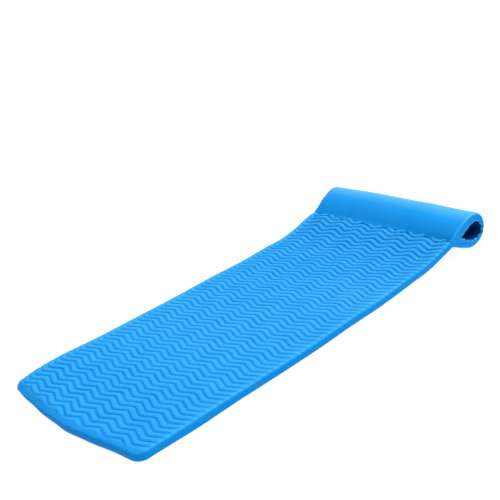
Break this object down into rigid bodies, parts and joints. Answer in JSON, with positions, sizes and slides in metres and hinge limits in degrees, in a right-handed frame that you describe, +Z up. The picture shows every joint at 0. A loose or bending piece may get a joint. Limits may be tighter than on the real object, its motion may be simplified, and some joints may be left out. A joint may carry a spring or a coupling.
{
  "type": "pool float",
  "caption": "Flexible foam lounging mat for the pool, with a zigzag ridged face and its head end rolled up into a pillow.",
  "frame": {"origin": "centre of the footprint, on the floor that the mat and its pillow lie on", "axes": "+Y along the mat from the foot to the pillow, +X across it to the right as seen from the foot, +Z up"},
  "size_m": [0.66, 1.632, 0.138],
  "materials": {
    "foam": "closed-cell foam, matt",
    "ridged_vinyl": "soft vinyl coat over embossed ridges, semi-gloss",
    "smooth_vinyl": "smooth soft vinyl coat, semi-gloss",
    "adhesive": "cured contact adhesive"
  },
  "bodies": {
    "foot_section": {"foot_core": "foam", "foot_ridged_face": "ridged_vinyl", "foot_underside_coat": "smooth_vinyl", "foot_end_coat": "smooth_vinyl", "foot_left_edge_coat": "smooth_vinyl", "foot_right_edge_coat": "smooth_vinyl"},
    "leg_section": {"leg_core": "foam", "leg_ridged_face": "ridged_vinyl", "leg_underside_coat": "smooth_vinyl", "leg_left_edge_coat": "smooth_vinyl", "leg_right_edge_coat": "smooth_vinyl"},
    "back_section": {"back_core": "foam", "back_ridged_face": "ridged_vinyl", "back_underside_coat": "smooth_vinyl", "back_left_edge_coat": "smooth_vinyl", "back_right_edge_coat": "smooth_vinyl"},
    "head_section": {"head_core": "foam", "head_ridged_face": "ridged_vinyl", "head_underside_coat": "smooth_vinyl", "head_left_edge_coat": "smooth_vinyl", "head_right_edge_coat": "smooth_vinyl", "pillow_core": "foam", "pillow_ridged_lining": "ridged_vinyl", "pillow_outer_coat": "smooth_vinyl", "pillow_left_end_coat": "smooth_vinyl", "pillow_right_end_coat": "smooth_vinyl", "pillow_bond": "adhesive"}
  },
  "joints": [
    {"name": "leg_bend", "type": "hinge", "parent": "back_section", "child": "leg_section", "pos_m": [0, -0.01632, 0.032], "axis": [-1, 0, 0], "range_deg": [-15, 60]},
    {"name": "foot_bend", "type": "hinge", "parent": "leg_section", "child": "foot_section", "pos_m": [0, -0.41616, 0.032], "axis": [-1, 0, 0], "range_deg": [-15, 60]},
    {"name": "head_bend", "type": "hinge", "parent": "back_section", "child": "head_section", "pos_m": [0, 0.30822, 0.03955], "axis": [1, 0, 0], "range_deg": [-15, 60]}
  ]
}
